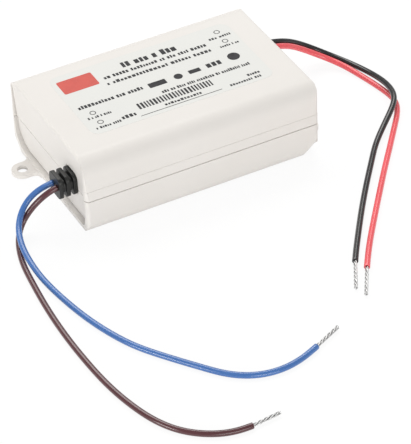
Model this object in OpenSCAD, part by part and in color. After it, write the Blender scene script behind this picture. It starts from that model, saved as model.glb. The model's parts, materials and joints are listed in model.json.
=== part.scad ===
// LED driver in a two-part moulded case, with a lead pair at each end.
// X runs along the case from the input end to the output end, Y from the
// front side to the rear side, Z up. The origin is the middle of the underside.
// A half turn about Z carries the input end on to the output end.

/* [Case] */
// Length of the case over its end rims
case_length = 84; // [78:0.5:120]
// Width of the case at the seam
case_width = 56; // [52:0.5:90]
// Height of the case
case_height = 28; // [26.5:0.5:45]
// Wall thickness of both shells
wall = 2; // [1.6:0.1:2.4]
// Radius of the long edges of the top
top_roll = 6; // [3:0.1:7]
// Radius of the long edges of the underside
base_roll = 4.5; // [3:0.1:6]
// Radius at which the top rolls down to an end
end_roll = 1.2; // [0.8:0.1:3]
// Radius of the upright corners
corner_round = 1.5; // [0.4:0.1:1.8]

/* [End rims] */
// Width of the rim that frames an end panel
rim_width = 2; // [1.4:0.1:3]
// Depth to which an end panel leans in behind its rim, at its foot
rim_depth = 1.8; // [0.6:0.1:2.4]
// Radius of a rim's lower edge
sill_roll = 0.8; // [0.3:0.1:1.8]
// Width and depth of the groove between panel and rim
panel_groove = 0.6; // [0.3:0.1:0.8]

/* [Seam] */
// Height of the seam between the shells
seam_height = 13.1; // [11.5:0.1:15.5]
// Opening of the seam line
seam_gap = 0.3; // [0.2:0.05:0.6]
// Depth of the seam line
seam_depth = 0.6; // [0.3:0.1:0.8]
// Depth of the seam line across the end panels
end_seam_depth = 0.15; // [0.1:0.05:0.6]
// Height of the tongue on the lower shell
tongue_height = 1.8; // [1:0.1:2.5]
// Thickness of the tongue
tongue_width = 0.7; // [0.5:0.1:0.9]
// Height of the proud band along the foot of the cover
skirt_height = 3.6; // [2.5:0.1:6]
// Amount by which that band stands proud
skirt_proud = 0.15; // [0.1:0.05:0.5]
// Clearance of fitted plastic parts
fit = 0.1; // [0.05:0.05:0.2]

/* [Mounting ears] */
// Distance of an ear's hole from the end of the case
ear_reach = 4; // [3.8:0.1:8]
// Distance of an ear's hole from the middle line
ear_offset = 13; // [8:0.5:14]
// Radius of an ear's round end
ear_radius = 3.6; // [3.4:0.1:5]
// Thickness of an ear
ear_thickness = 1.4; // [1.2:0.1:4]
// Radius of the fillet at an ear's root
ear_fillet = 2.2; // [1:0.1:3]
// Screw hole diameter
ear_hole = 3.6; // [3:0.1:4.6]
// Radius of the case's lower corner beside an ear
ear_corner = 10; // [6:0.5:11]
// Length over which that corner runs out
corner_run = 5; // [4:0.5:8]

/* [Lead bushings] */
// Distance of a bushing from the middle line
bushing_offset = 16.8; // [14:0.1:18]
// Height of a bushing's centre above the seam
bushing_lift = 1.9; // [0:0.1:2.2]
// Side of a square flange
flange_side = 7.8; // [7.4:0.1:9.6]
// Corner radius of a flange
flange_round = 1.8; // [0.8:0.1:3]
// Thickness of a flange
flange_thickness = 1.4; // [1.2:0.1:2.4]
// Width of the groove between flanges
flange_groove = 1.05; // [0.5:0.05:1.5]
// Number of flanges outside the case
flange_count = 3; // [2:1:5]
// Width of the neck
neck_width = 6.4; // [6.2:0.1:7.2]
// Height of the neck
neck_height = 4.4; // [3.6:0.1:6.6]
// Corner radius of the neck
neck_round = 1.6; // [1:0.1:1.7]

/* [Leads] */
// Outer diameter of a lead
lead_d = 2; // [1.7:0.1:2.4]
// Distance between the two leads of a pair
lead_pitch = 3; // [2.6:0.1:3.4]
// Diameter of the bare strands
strand_d = 1.3; // [0.8:0.1:1.6]
// Length of a lead's run from the case wall to its solder joint
tail_run = 5.5; // [4:0.5:7]

/* [Circuit board] */
// Height of the board's underside
board_height = 5; // [4.5:0.1:6]
// Board thickness
board_thickness = 1.6; // [1:0.1:2]
// Gap between the board's edge and the case wall
board_clear = 0.8; // [0.4:0.1:1.2]
// Diameter of the posts under the board and the pillars above it
post_d = 4.4; // [3:0.1:5]
// Distance of the posts from the board's edges
post_inset = 2.8; // [2.4:0.1:3.4]

/* [Components] */
// Diameter of the bulk capacitor
bulk_d = 13; // [10:0.5:14]
// Height of the bulk capacitor
bulk_h = 16; // [12:0.5:18]
// Diameter of the output capacitors
out_cap_d = 9; // [6:0.5:10]
// Height of the output capacitors
out_cap_h = 14; // [10:0.5:17]
// Length of the heatsink
sink_length = 15; // [12:0.5:16]
// Height of the heatsink
sink_height = 14; // [11:0.5:17]
// Thickness of the heatsink
sink_thickness = 2; // [1.5:0.1:3]
// Transformer core length
core_length = 20; // [16:0.5:22]
// Transformer core depth
core_depth = 7; // [5:0.5:8]
// Transformer core height
core_height = 16; // [12:0.5:17]
// Diameter of the line choke
choke_d = 11; // [8:0.5:12]
// Height of the line choke
choke_h = 11; // [8:0.5:14]

/* [Hidden] */
$fn = 48;

// Overlap that lets solids of one moulding run into each other
run_in = 0.5;
half_l = case_length / 2;
half_w = case_width / 2;
// An end panel leans from its foot out to the foot of the end roll
panel_foot = half_l - rim_depth;
function panel_at(z) =
    half_l - rim_depth * (1 - z / (case_height - end_roll));
inner_x = panel_foot - wall;
inner_w = half_w - skirt_proud - wall;
ceiling = case_height - wall;
skirt_top = seam_height + skirt_height;

bushing_z = seam_height + bushing_lift;
// Flat seat for a bushing on the leaning panel
seat_x = panel_at(bushing_z);
seat_side = flange_side + 0.8;
seat_round = flange_round + 0.4;
flange_pitch = flange_thickness + flange_groove;
bushing_end = seat_x + flange_count * flange_pitch - flange_groove;

board_l = inner_x - board_clear;
board_w = inner_w - board_clear;
board_top = board_height + board_thickness;
// Two posts and their half-turn partners; one of each pair stands inboard of
// the leads
posts = [[-board_l + post_inset, board_w - post_inset],
    [-board_l + post_inset + tail_run + post_d, -board_w + post_inset]];

// Component rows: front, middle and rear
front_row = [bulk_d, sink_length, out_cap_d, out_cap_d];
fuse_d = 4;
fuse_length = 11;
bridge_l = 5;
bridge_w = 10;
bridge_h = 8;
diode_l = 5;
diode_w = 10;
diode_h = 12;
middle_row = [fuse_d, choke_d, bridge_l, core_length, diode_l];
varistor_d = 9;
varistor_t = 4;
filter_l = 13;
filter_w = 6;
filter_h = 11;
opto_l = 6.5;
opto_w = 4.6;
opto_h = 3.6;
chip_l = 5;
chip_w = 4;
chip_h = 1.6;
rear_row = [varistor_t, filter_l, chip_l, opto_l];
transistor_l = 10;
transistor_w = 4.4;
transistor_h = 10;

function total(list, n) = n <= 0 ? 0 : list[n - 1] + total(list, n - 1);
// Middle of item i when a row is spread evenly from x0 to x1
function spread(row, i, x0, x1) =
    let (gap = (x1 - x0 - total(row, len(row))) / (len(row) - 1))
    x0 + total(row, i) + i * gap + row[i] / 2;

// The rows keep clear of the posts and of the leads' solder joints
row_start = posts[1][0] + post_d / 2 + 1;
row_end = board_l - post_inset - post_d / 2 - 1;
function front_x(i) = spread(front_row, i, row_start, row_end);
function middle_x(i) = spread(middle_row, i, -board_l + 2, board_l - 2);
function rear_x(i) = spread(rear_row, i, -row_end, -row_start);
front_y = -board_w + 1.2 + bulk_d / 2;
rear_y = board_w - 2 - varistor_d / 2;

// Routes of the leads past the bushings: over the bench, down to it and along
lie = lead_d / 2;
blue_route = [[-50.4, -14.8, 14.3], [-52.9, -13.9, 12.7],
    [-55.3, -13.3, 10.5], [-57.8, -13.9, 8.3], [-60, -15.9, 6.6],
    [-61.7, -18.5, 5.5], [-63.1, -21.9, 4.6], [-64.1, -25.8, 3.8],
    [-64.6, -29.9, 3.2], [-64.8, -34.7, 2.5], [-64.5, -40.5, 1.5],
    [-63.3, -50, lie], [-61.2, -62, lie], [-58, -73.5, lie],
    [-53.6, -84, lie], [-47, -94, lie],
    [-41, -102.2, lie], [-36, -108.6, lie], [-31, -112.5, lie],
    [-25.5, -114.7, lie], [-19.5, -115.2, lie], [-13.5, -114.1, lie],
    [-6.6, -111.3, lie], [3.6, -106.6, lie]];
brown_route = [[-50.5, -18, 14], [-53, -17.3, 12], [-55.1, -16.1, 9.1],
    [-56.9, -15.2, 6.2], [-58.7, -15.1, 3.9], [-60.6, -16.5, 2.2],
    [-62.6, -19.7, 1.2], [-64.7, -25.2, lie],
    [-66.4, -31.5, lie], [-67.7, -41, lie], [-69.1, -55, lie],
    [-69.7, -69, lie], [-69.5, -82, lie], [-68.6, -95, lie],
    [-66.7, -106, lie], [-63.7, -116, lie], [-59.8, -123, lie],
    [-54.6, -128, lie], [-49.4, -131, lie], [-44.6, -132.3, lie],
    [-39.9, -132.4, lie], [-30.1, -131.5, lie]];
black_route = [[53, 18.6, 13.8], [57.6, 19.7, 11.5], [64.2, 20.4, 7],
    [70.8, 17.2, 3.1], [75.7, 11, 1.5], [78.6, 1.4, 2], [78.9, -8.2, 3.7],
    [78.2, -14.8, 4], [76.2, -18.8, 3.9], [72.6, -22.2, 3.2],
    [66.9, -26.9, 1.8], [60.3, -33.1, lie], [54.2, -40.7, lie],
    [47, -49.8, lie], [39, -60.4, lie], [31, -71.6, lie], [23.7, -82.3, lie],
    [17.1, -94, lie]];
red_route = [[52.4, 15.5, 13.9], [56, 16.5, 12], [60.7, 17.6, 8.6],
    [67.4, 16.2, 4.2], [73, 10.5, 1.8], [75.9, 2.2, lie], [77.5, -5.2, lie],
    [78.5, -11.4, lie],
    [78.5, -15.6, lie], [77, -19.4, lie], [73.9, -23.8, lie],
    [69, -29.9, lie], [63, -37.4, lie], [56.8, -45, lie],
    [47.2, -57.2, lie], [39.2, -67.5, lie], [32, -77, lie],
    [25.4, -86.6, lie], [18.2, -98.2, lie]];
// Straight stretch of a lead as it leaves its bushing
lead_out = 0.5;

// Profile with round lower and upper corners, from z0 to z1; beside the ear
// the lower corner may be larger
module profile(half, z0, z1, low, high, ear_side = 0) {
    difference() {
        even_profile(half, z0, z1, low, high);
        if (ear_side > low) translate([half, z0]) corner_waste(ear_side);
    }
}

// What a round of radius r takes off a lower corner at the origin
module corner_waste(r) {
    translate([-r, r]) difference() {
        translate([0, -r - 1]) square(r + 1);
        circle(r);
    }
}

module even_profile(half, z0, z1, low, high) {
    translate([-half, z0 + low]) square([2 * half, z1 - z0 - low - high]);
    translate([low - half, z0]) square([2 * (half - low), z1 - z0 - high]);
    translate([high - half, z0 + low])
        square([2 * (half - high), z1 - z0 - low]);
    for (s = [-1, 1]) {
        if (low > 0) translate([s * (half - low), z0 + low]) circle(low);
        if (high > 0) translate([s * (half - high), z1 - high]) circle(high);
    }
}

module rounded(x, y, r) {
    square([x, y - 2 * r], center = true);
    square([x - 2 * r, y], center = true);
    for (sx = [-1, 1], sy = [-1, 1])
        translate([sx * (x / 2 - r), sy * (y / 2 - r)]) circle(r);
}

// Sweeps a Y-Z profile along X, and an X-Z profile along Y
module along_x(length) {
    rotate([90, 0, 90]) linear_extrude(length, center = true) children();
}

// Sweeps a Y-Z profile from the input end to the middle
module input_half() {
    translate([-half_l / 2, 0, 0]) along_x(half_l) children();
}

module along_y(length) {
    rotate([90, 0, 0]) linear_extrude(length, center = true) children();
}

module half_turn() {
    for (a = [0, 180]) rotate([0, 0, a]) children();
}

module slab(z0, z1) {
    translate([-case_length, -case_width, z0])
        cube([2 * case_length, 2 * case_width, z1 - z0]);
}

// Space in front of an end panel, framed by the rim and open at the top
module recess_profile(inset = 0) {
    profile(half_w - rim_width - inset, rim_width + inset, case_height + 1,
        max(base_roll - rim_width - inset, 0.2), 0,
        ear_corner - rim_width - inset);
}

// Case corner below the ear at the input end, which runs out along the case
module ear_corner_waste() {
    lean = atan(0.3 * ear_corner * (sqrt(2) - 1) * sqrt(2) / corner_run);
    translate([-half_l, half_w, 0]) rotate([0, lean, lean])
        rotate([90, 0, 90]) translate([0, 0, -2])
            linear_extrude(corner_run + 6) corner_waste(ear_corner);
}

// Side view between the leaning end panels
module lean_profile(inset = 0) {
    difference() {
        profile(half_l - inset, 0, case_height, 0, end_roll);
        for (s = [0, 1]) mirror([s, 0])
            polygon([[panel_foot - inset, 0], [case_length, 0],
                [case_length, case_height - end_roll],
                [half_l - inset, case_height - end_roll]]);
    }
}

// Square column through the seats of both bushings, from x0 outwards
module seat_columns(x0, x1) {
    half_turn()
        translate([-x1, -bushing_offset, bushing_z]) rotate([90, 0, 90])
            linear_extrude(x1 - x0) rounded(seat_side, seat_side, seat_round);
}

// Outer form of the case, with its half width given
module blank(half) {
    intersection() {
        difference() {
            union() {
                intersection() {
                    along_x(case_length)
                        profile(half, 0, case_height, base_roll, top_roll);
                    along_y(case_width) lean_profile();
                }
                seat_columns(inner_x, seat_x);
            }
            seat_columns(seat_x, case_length);
        }
        corners(half);
    }
    // Rims past the end panels
    half_turn() intersection() {
        input_half() difference() {
            profile(half, 0, case_height, base_roll, top_roll);
            recess_profile();
        }
        along_y(case_width)
            profile(half_l, 0, case_height, sill_roll, end_roll);
        corners(half);
    }
}

module corners(half) {
    linear_extrude(case_height) rounded(case_length, 2 * half, corner_round);
}

// Room inside the shells
module cavity() {
    intersection() {
        along_x(case_length)
            profile(inner_w, wall, ceiling, max(base_roll - wall, 0.3),
                max(top_roll - wall, 0.3));
        along_y(case_width)
            profile(inner_x, 0, ceiling, 0, max(end_roll - wall, 0.3));
    }
}

// Shadow groove round the sides and foot of each end panel
module panel_grooves() {
    half_turn() intersection() {
        input_half() difference() {
            recess_profile();
            recess_profile(panel_groove);
            translate([-half_w, case_height - end_roll - 1])
                square([case_width, case_height]);
        }
        along_y(case_width) difference() {
            profile(case_length, 0, case_height, 0, 0);
            lean_profile(panel_groove);
        }
    }
}

// Ring in plan between two insets from the inner wall
module wall_ring(out) {
    difference() {
        square([2 * (inner_x + out), 2 * (inner_w + out)], center = true);
        square([2 * inner_x, 2 * inner_w], center = true);
    }
}

// Opening in the end panels for the bushing necks
module neck_openings() {
    half_turn()
        translate([-half_l, -bushing_offset, bushing_z])
            rotate([90, 0, 90]) linear_extrude(half_l - inner_x + 1)
                rounded(neck_width, neck_height, neck_round);
}

module ear_outline() {
    difference() {
        union() {
            translate([-half_l - ear_reach, ear_offset]) circle(ear_radius);
            translate([-half_l - ear_reach, ear_offset - ear_radius])
                square([ear_reach + rim_depth + run_in, 2 * ear_radius]);
            for (s = [-1, 1])
                translate([-half_l, ear_offset + s * ear_radius])
                    difference() {
                        translate([-ear_fillet, s > 0 ? -run_in : -ear_fillet])
                            square([ear_fillet + rim_depth + run_in,
                                ear_fillet + run_in]);
                        translate([-ear_fillet, s * ear_fillet])
                            circle(ear_fillet);
                    }
        }
        translate([-half_l - ear_reach, ear_offset]) circle(d = ear_hole);
    }
}

module lower_case() color("whitesmoke") {
    difference() {
        union() {
            intersection() {
                blank(half_w);
                slab(0, seam_height);
            }
            translate([0, 0, seam_height - run_in])
                linear_extrude(tongue_height + run_in) wall_ring(tongue_width);
        }
        intersection() {
            cavity();
            slab(0, seam_height);
        }
        // Seam line, sunk into the outer edge of the wall
        translate([0, 0, seam_height - seam_gap])
            linear_extrude(seam_gap + fit) difference() {
                square([2 * case_length, 2 * case_width], center = true);
                square(2 * [panel_at(seam_height) - end_seam_depth,
                    half_w - seam_depth],
                    center = true);
            }
        neck_openings();
        panel_grooves();
        half_turn() ear_corner_waste();
    }
    half_turn() linear_extrude(ear_thickness) ear_outline();
    half_turn() for (p = posts)
        translate([p[0], p[1], wall - run_in])
            cylinder(h = board_height - wall + run_in, d = post_d);
}

module upper_cover() color("whitesmoke") {
    difference() {
        union() {
            intersection() {
                blank(half_w);
                slab(seam_height, skirt_top);
            }
            intersection() {
                blank(half_w - skirt_proud);
                slab(skirt_top, case_height);
            }
        }
        cavity();
        // Slot for the tongue of the lower shell
        translate([0, 0, seam_height - 1])
            linear_extrude(tongue_height + fit + 1)
                wall_ring(tongue_width + fit);
        neck_openings();
        panel_grooves();
    }
    half_turn() for (p = posts)
        translate([p[0], p[1], board_top])
            cylinder(h = ceiling - board_top + run_in, d = post_d);
}

// Strain relief: flanges outside, one behind the panel, a neck between
module bushing() {
    translate([0, -bushing_offset, bushing_z]) rotate([90, 0, 90])
        difference() {
            union() {
                translate([0, 0, -bushing_end])
                    linear_extrude(bushing_end - inner_x + flange_thickness)
                        rounded(neck_width, neck_height, neck_round);
                for (i = [0 : flange_count - 1])
                    translate([0, 0, -seat_x - flange_thickness
                            - i * flange_pitch])
                        linear_extrude(flange_thickness)
                            rounded(flange_side, flange_side, flange_round);
                translate([0, 0, -inner_x]) linear_extrude(flange_thickness)
                    rounded(flange_side, flange_side, flange_round);
            }
            for (s = [-1, 1])
                translate([s * lead_pitch / 2, 0, -bushing_end - 1])
                    cylinder(h = bushing_end, d = lead_d);
        }
}

module input_bushing() color("black") bushing();

module output_bushing() color("black") rotate([0, 0, 180]) bushing();

module circuit_board() color("darkgreen")
    translate([-board_l, -board_w, board_height])
        cube([2 * board_l, 2 * board_w, board_thickness]);

module on_board(x, y) {
    translate([x, y, board_top]) children();
}

module block(l, w, h) {
    translate([-l / 2, -w / 2, 0]) cube([l, w, h]);
}

module fuse() color("tan") on_board(middle_x(0), 0)
    translate([0, 0, fuse_d / 2]) rotate([90, 0, 0])
        cylinder(h = fuse_length, d = fuse_d, center = true);

module varistor() color("royalblue") on_board(rear_x(0), rear_y)
    translate([0, 0, varistor_d / 2]) rotate([0, 90, 0])
        cylinder(h = varistor_t, d = varistor_d, center = true);

module filter_capacitor() color("gold") on_board(rear_x(1), rear_y)
    block(filter_l, filter_w, filter_h);

// Drum core: two flanges on a hub
choke_flange = 1.6;
choke_hub = 5;

module line_choke_core() color("dimgray") on_board(middle_x(1), 0) {
    cylinder(h = choke_flange, d = choke_d);
    cylinder(h = choke_h, d = choke_hub);
    translate([0, 0, choke_h - choke_flange])
        cylinder(h = choke_flange, d = choke_d);
}

module line_choke_winding() color("peru") on_board(middle_x(1), 0)
    translate([0, 0, choke_flange]) difference() {
        cylinder(h = choke_h - 2 * choke_flange, d = choke_d - 1.4);
        translate([0, 0, -1]) cylinder(h = choke_h, d = choke_hub);
    }

module bridge_rectifier() color("dimgray") on_board(middle_x(2), 0)
    block(bridge_l, bridge_w, bridge_h);

module can(d, h) {
    bead = 0.5;
    rotate_extrude() difference() {
        square([d / 2, h]);
        translate([d / 2, h / 6]) circle(bead);
    }
}

module bulk_capacitor() color("midnightblue")
    on_board(front_x(0), front_y) can(bulk_d, bulk_h);

module output_capacitor(i) color("midnightblue")
    on_board(front_x(2 + i), front_y) can(out_cap_d, out_cap_h);

module output_capacitor_1() output_capacitor(0);

module output_capacitor_2() output_capacitor(1);

module heatsink() color("silver")
    on_board(front_x(1), front_y - bulk_d / 2 + sink_thickness / 2)
        block(sink_length, sink_thickness, sink_height);

module switching_transistor() color("dimgray")
    on_board(front_x(1),
        front_y - bulk_d / 2 + sink_thickness + transistor_w / 2)
        block(transistor_l, transistor_w, transistor_h);

// Core of two yokes, two outer legs and a middle leg
core_leg = 3;
core_mid = 6;
core_yoke = 3;

module transformer_core() color("dimgray") on_board(middle_x(3), 0)
    rotate([90, 0, 0]) linear_extrude(core_depth, center = true)
        difference() {
            translate([-core_length / 2, 0]) square([core_length, core_height]);
            for (s = [0, 1]) mirror([s, 0])
                translate([core_mid / 2, core_yoke])
                    square([core_length / 2 - core_mid / 2 - core_leg,
                        core_height - 2 * core_yoke]);
        }

module transformer_winding() color("goldenrod") on_board(middle_x(3), 0)
    translate([0, 0, core_yoke])
        linear_extrude(core_height - 2 * core_yoke) difference() {
            square([core_length - 2 * core_leg, core_depth + core_mid],
                center = true);
            square([core_mid, core_depth], center = true);
        }

module output_diode() color("dimgray") on_board(middle_x(4), 0)
    block(diode_l, diode_w, diode_h);

module optocoupler() color("ghostwhite") on_board(rear_x(3), rear_y)
    block(opto_l, opto_w, opto_h);

module controller_chip() color("dimgray") on_board(rear_x(2), rear_y)
    block(chip_l, chip_w, chip_h);

// Lead inside the bushing and down to its solder joint; side is -1 or 1
tail_x = inner_x - tail_run;

module tail(side) {
    translate([0, -bushing_offset + side * lead_pitch / 2, bushing_z]) {
        translate([-bushing_end, 0, 0]) rotate([0, 90, 0])
            cylinder(h = bushing_end - tail_x, d = lead_d);
        translate([-tail_x, 0, 0]) sphere(d = lead_d);
        translate([-tail_x, 0, board_top - bushing_z])
            cylinder(h = bushing_z - board_top, d = lead_d);
    }
}

module blue_tail() color("mediumblue") tail(1);

module brown_tail() color("saddlebrown") tail(-1);

module black_tail() color("black") rotate([0, 0, 180]) tail(-1);

module red_tail() color("firebrick") rotate([0, 0, 180]) tail(1);

function unit(v) = v / norm(v);
// Ring of a swept tube: centre p, direction t, radius r
function ring(p, t, r) =
    let (side = unit(cross(t, [0, 0, 1])), up = cross(side, t))
    [for (i = [0 : 7]) p + r * (cos(45 * i) * side + sin(45 * i) * up)];
// Direction of the route at point i
function heading(path, i) =
    i == 0 ? unit(path[1] - path[0])
    : i >= len(path) - 2 ? unit(path[len(path) - 1] - path[len(path) - 2])
    : unit(unit(path[i + 1] - path[i]) + unit(path[i] - path[i - 1]));
// Whole route: out of the bushing, then along the bench
function lead_path(end, side, route) =
    let (exit = [end * bushing_end,
            end * bushing_offset + side * lead_pitch / 2, bushing_z])
    concat([exit, exit + [end * lead_out, 0, 0]], route);

// The insulated length ends one point before the strands do
module lead(path) {
    n = len(path) - 1;
    rings = [for (i = [0 : n - 1]) ring(path[i], heading(path, i), lead_d / 2)];
    points = [for (r = rings, p = r) p];
    sides = [for (i = [0 : n - 2], j = [0 : 7])
        [8 * i + j, 8 * i + (j + 1) % 8, 8 * i + 8 + (j + 1) % 8, 8 * i + 8 + j]];
    ends = [[for (j = [7 : -1 : 0]) j], [for (j = [0 : 7]) 8 * (n - 1) + j]];
    polyhedron(points, concat(sides, ends), convexity = 10);
}

// Bare strands past the insulation
module tip(path) {
    n = len(path) - 1;
    run = path[n] - path[n - 1];
    translate(path[n - 1]) rotate([0, 0, atan2(run[1], run[0])])
        rotate([0, 90, 0]) cylinder(h = norm(run), d = strand_d);
}

blue_path = lead_path(-1, 1, blue_route);
brown_path = lead_path(-1, -1, brown_route);
black_path = lead_path(1, 1, black_route);
red_path = lead_path(1, -1, red_route);

module blue_lead() color("mediumblue") lead(blue_path);

module brown_lead() color("saddlebrown") lead(brown_path);

module black_lead() color("black") lead(black_path);

module red_lead() color("firebrick") lead(red_path);

module blue_tip() color("silver") tip(blue_path);

module brown_tip() color("silver") tip(brown_path);

module black_tip() color("silver") tip(black_path);

module red_tip() color("silver") tip(red_path);

lower_case();
upper_cover();
input_bushing();
output_bushing();
circuit_board();
fuse();
varistor();
filter_capacitor();
line_choke_core();
line_choke_winding();
bridge_rectifier();
bulk_capacitor();
heatsink();
switching_transistor();
transformer_core();
transformer_winding();
output_diode();
output_capacitor_1();
output_capacitor_2();
optocoupler();
controller_chip();
blue_tail();
brown_tail();
black_tail();
red_tail();
blue_lead();
brown_lead();
black_lead();
red_lead();
blue_tip();
brown_tip();
black_tip();
red_tip();
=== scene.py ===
"""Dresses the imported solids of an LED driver: white case, black bushings, coloured leads and a plain label.

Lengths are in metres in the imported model's frame. Routes and label places are written in millimetres.
"""

from __future__ import annotations

import json
import logging
import math
from collections.abc import Sequence
from dataclasses import dataclass
from enum import Enum
from functools import cache

import bmesh
import bpy
from mathutils import Matrix, Vector

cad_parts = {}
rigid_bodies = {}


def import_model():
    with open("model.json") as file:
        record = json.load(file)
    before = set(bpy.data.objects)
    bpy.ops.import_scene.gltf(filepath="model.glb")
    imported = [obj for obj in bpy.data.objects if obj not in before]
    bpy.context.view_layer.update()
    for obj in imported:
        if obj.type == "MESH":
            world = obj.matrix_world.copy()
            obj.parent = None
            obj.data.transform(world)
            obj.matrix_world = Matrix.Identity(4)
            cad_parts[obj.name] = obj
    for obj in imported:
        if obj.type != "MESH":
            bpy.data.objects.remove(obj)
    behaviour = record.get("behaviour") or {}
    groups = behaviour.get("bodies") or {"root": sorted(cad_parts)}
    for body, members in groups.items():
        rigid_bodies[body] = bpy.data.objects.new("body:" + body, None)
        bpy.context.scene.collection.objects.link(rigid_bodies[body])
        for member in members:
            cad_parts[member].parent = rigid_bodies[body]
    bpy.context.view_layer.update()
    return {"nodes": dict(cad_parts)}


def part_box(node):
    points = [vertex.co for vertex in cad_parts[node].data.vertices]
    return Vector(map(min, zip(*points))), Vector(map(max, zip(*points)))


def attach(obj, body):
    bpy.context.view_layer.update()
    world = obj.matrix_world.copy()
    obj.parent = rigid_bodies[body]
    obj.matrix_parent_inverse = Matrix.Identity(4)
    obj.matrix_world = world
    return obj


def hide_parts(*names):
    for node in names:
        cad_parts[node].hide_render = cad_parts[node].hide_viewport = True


LOG = logging.getLogger("led_driver")
MM = 0.001
BODY = "root"
CASE_EDGE = 0.14 * MM
BUSHING_EDGE = 0.3 * MM

Colour = tuple[float, float, float]
Point = tuple[float, float, float]
Flat = tuple[float, float]


def link_object(name: str, mesh: bpy.types.Mesh) -> bpy.types.Object:
    """Adds a mesh to the scene as an object at the origin.

    Args:
        name: Name of the piece.
        mesh: Mesh that already lies in the part's frame.

    Returns:
        The new object.
    """
    piece = bpy.data.objects.new(name, mesh)
    bpy.context.scene.collection.objects.link(piece)
    return piece


def plain_mesh(piece: bpy.types.Object, name: str) -> bpy.types.Mesh:
    """Turns an object with modifiers into a plain mesh and removes the object.

    Args:
        piece: Object whose modifiers make the shape.
        name: Name of the new mesh.

    Returns:
        The evaluated mesh, with its materials.
    """
    graph = bpy.context.evaluated_depsgraph_get()
    mesh = bpy.data.meshes.new_from_object(piece.evaluated_get(graph))
    mesh.name = name
    bpy.data.objects.remove(piece)
    return mesh


def take_place(piece: bpy.types.Object, node: str) -> None:
    """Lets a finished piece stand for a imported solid.

    Args:
        piece: The piece.
        node: Name of the solid.
    """
    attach(piece, BODY)
    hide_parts(node)


class ShaderTree:
    """Short way to fill one node tree."""

    # The Mix node's share, first colour and second colour, and its mixed colour
    MIX_INPUTS = (0, 6, 7)
    MIX_RESULT = 2

    def __init__(self, tree: bpy.types.NodeTree) -> None:
        """Keeps the tree that the nodes go into."""
        self.tree = tree

    def add(self, kind: str, inputs: dict[str, object] | None = None, **settings: object) -> bpy.types.Node:
        """Adds a node.

        Args:
            kind: Blender's node type.
            inputs: Socket name to a value, or to the output socket that feeds it.
            **settings: Attributes of the node.

        Returns:
            The new node.
        """
        node = self.tree.nodes.new(kind)
        for name, value in settings.items():
            setattr(node, name, value)
        for name, value in (inputs or {}).items():
            self.feed(node.inputs[name], value)
        return node

    def feed(self, socket: bpy.types.NodeSocket, value: object) -> None:
        """Links an output to a socket, or sets the socket's own value.

        Args:
            socket: Socket that takes the value.
            value: Output socket, number, colour or vector.
        """
        if isinstance(value, bpy.types.NodeSocket):
            self.tree.links.new(value, socket)
        else:
            socket.default_value = value

    def chain(self, kind: str, *values: object, **settings: object) -> bpy.types.NodeSocket:
        """Adds a node whose inputs are fed in order.

        Args:
            kind: Blender's node type.
            *values: Values or output sockets for its first inputs.
            **settings: Attributes of the node.

        Returns:
            The node's first output.
        """
        node = self.add(kind, **settings)
        for socket, value in zip(node.inputs, values):
            self.feed(socket, value)
        return node.outputs[0]

    def math(self, operation: str, *values: object) -> bpy.types.NodeSocket:
        """Adds a math node and gives its result."""
        return self.chain("ShaderNodeMath", *values, operation=operation)

    def place(self) -> bpy.types.NodeSocket:
        """Gives the place on the object, in its own coordinates."""
        return self.add("ShaderNodeTexCoord").outputs["Object"]

    def noise(self, place: object, scale: object, detail: float) -> bpy.types.NodeSocket:
        """Adds a noise texture, read at a place, and gives its value."""
        inputs = {"Vector": place, "Scale": scale, "Detail": detail}
        return self.add("ShaderNodeTexNoise", inputs).outputs["Fac"]

    def blend(self, amount: object, first: object, second: object) -> bpy.types.NodeSocket:
        """Adds a colour mix.

        Args:
            amount: Share of the second colour.
            first: First colour or output.
            second: Second colour or output.

        Returns:
            The mixed colour's socket.
        """
        node = self.add("ShaderNodeMix", data_type="RGBA")
        for index, value in zip(self.MIX_INPUTS, (amount, first, second)):
            self.feed(node.inputs[index], value)
        return node.outputs[self.MIX_RESULT]


def blank_material(name: str) -> tuple[bpy.types.Material, ShaderTree]:
    """Makes a material with an empty tree.

    Args:
        name: Name of the material.

    Returns:
        The material and its tree.
    """
    made = bpy.data.materials.new(name)
    made.use_nodes = True
    made.node_tree.nodes.clear()
    return made, ShaderTree(made.node_tree)


class GroupTree(ShaderTree):
    """A node group with named inputs and outputs, of floats in a shader."""

    KIND = "ShaderNodeTree"
    RESULT = "NodeSocketFloat"
    SOCKETS = {float: "NodeSocketFloat", int: "NodeSocketInt", type(None): "NodeSocketMaterial"}

    def __init__(self, name: str, inputs: dict[str, float | int | None]) -> None:
        """Makes the group with its inputs.

        Args:
            name: Name of the group.
            inputs: Input names with their usual values, where None stands for a material.
        """
        super().__init__(bpy.data.node_groups.new(name, self.KIND))
        self.names: dict[str, str] = {}
        for label, value in inputs.items():
            kind = self.SOCKETS[type(value)]
            socket = self.tree.interface.new_socket(label, in_out="INPUT", socket_type=kind)
            if value is not None:
                socket.default_value = value
            self.names[label] = socket.identifier
        self.entry = self.add("NodeGroupInput").outputs

    def close(self, **outputs: bpy.types.NodeSocket) -> bpy.types.NodeTree:
        """Gives the group its outputs.

        Args:
            **outputs: Output names with the sockets behind them.

        Returns:
            The finished group.
        """
        for label in outputs:
            self.tree.interface.new_socket(label, in_out="OUTPUT", socket_type=self.RESULT)
        self.add("NodeGroupOutput", outputs)
        return self.tree


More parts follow.
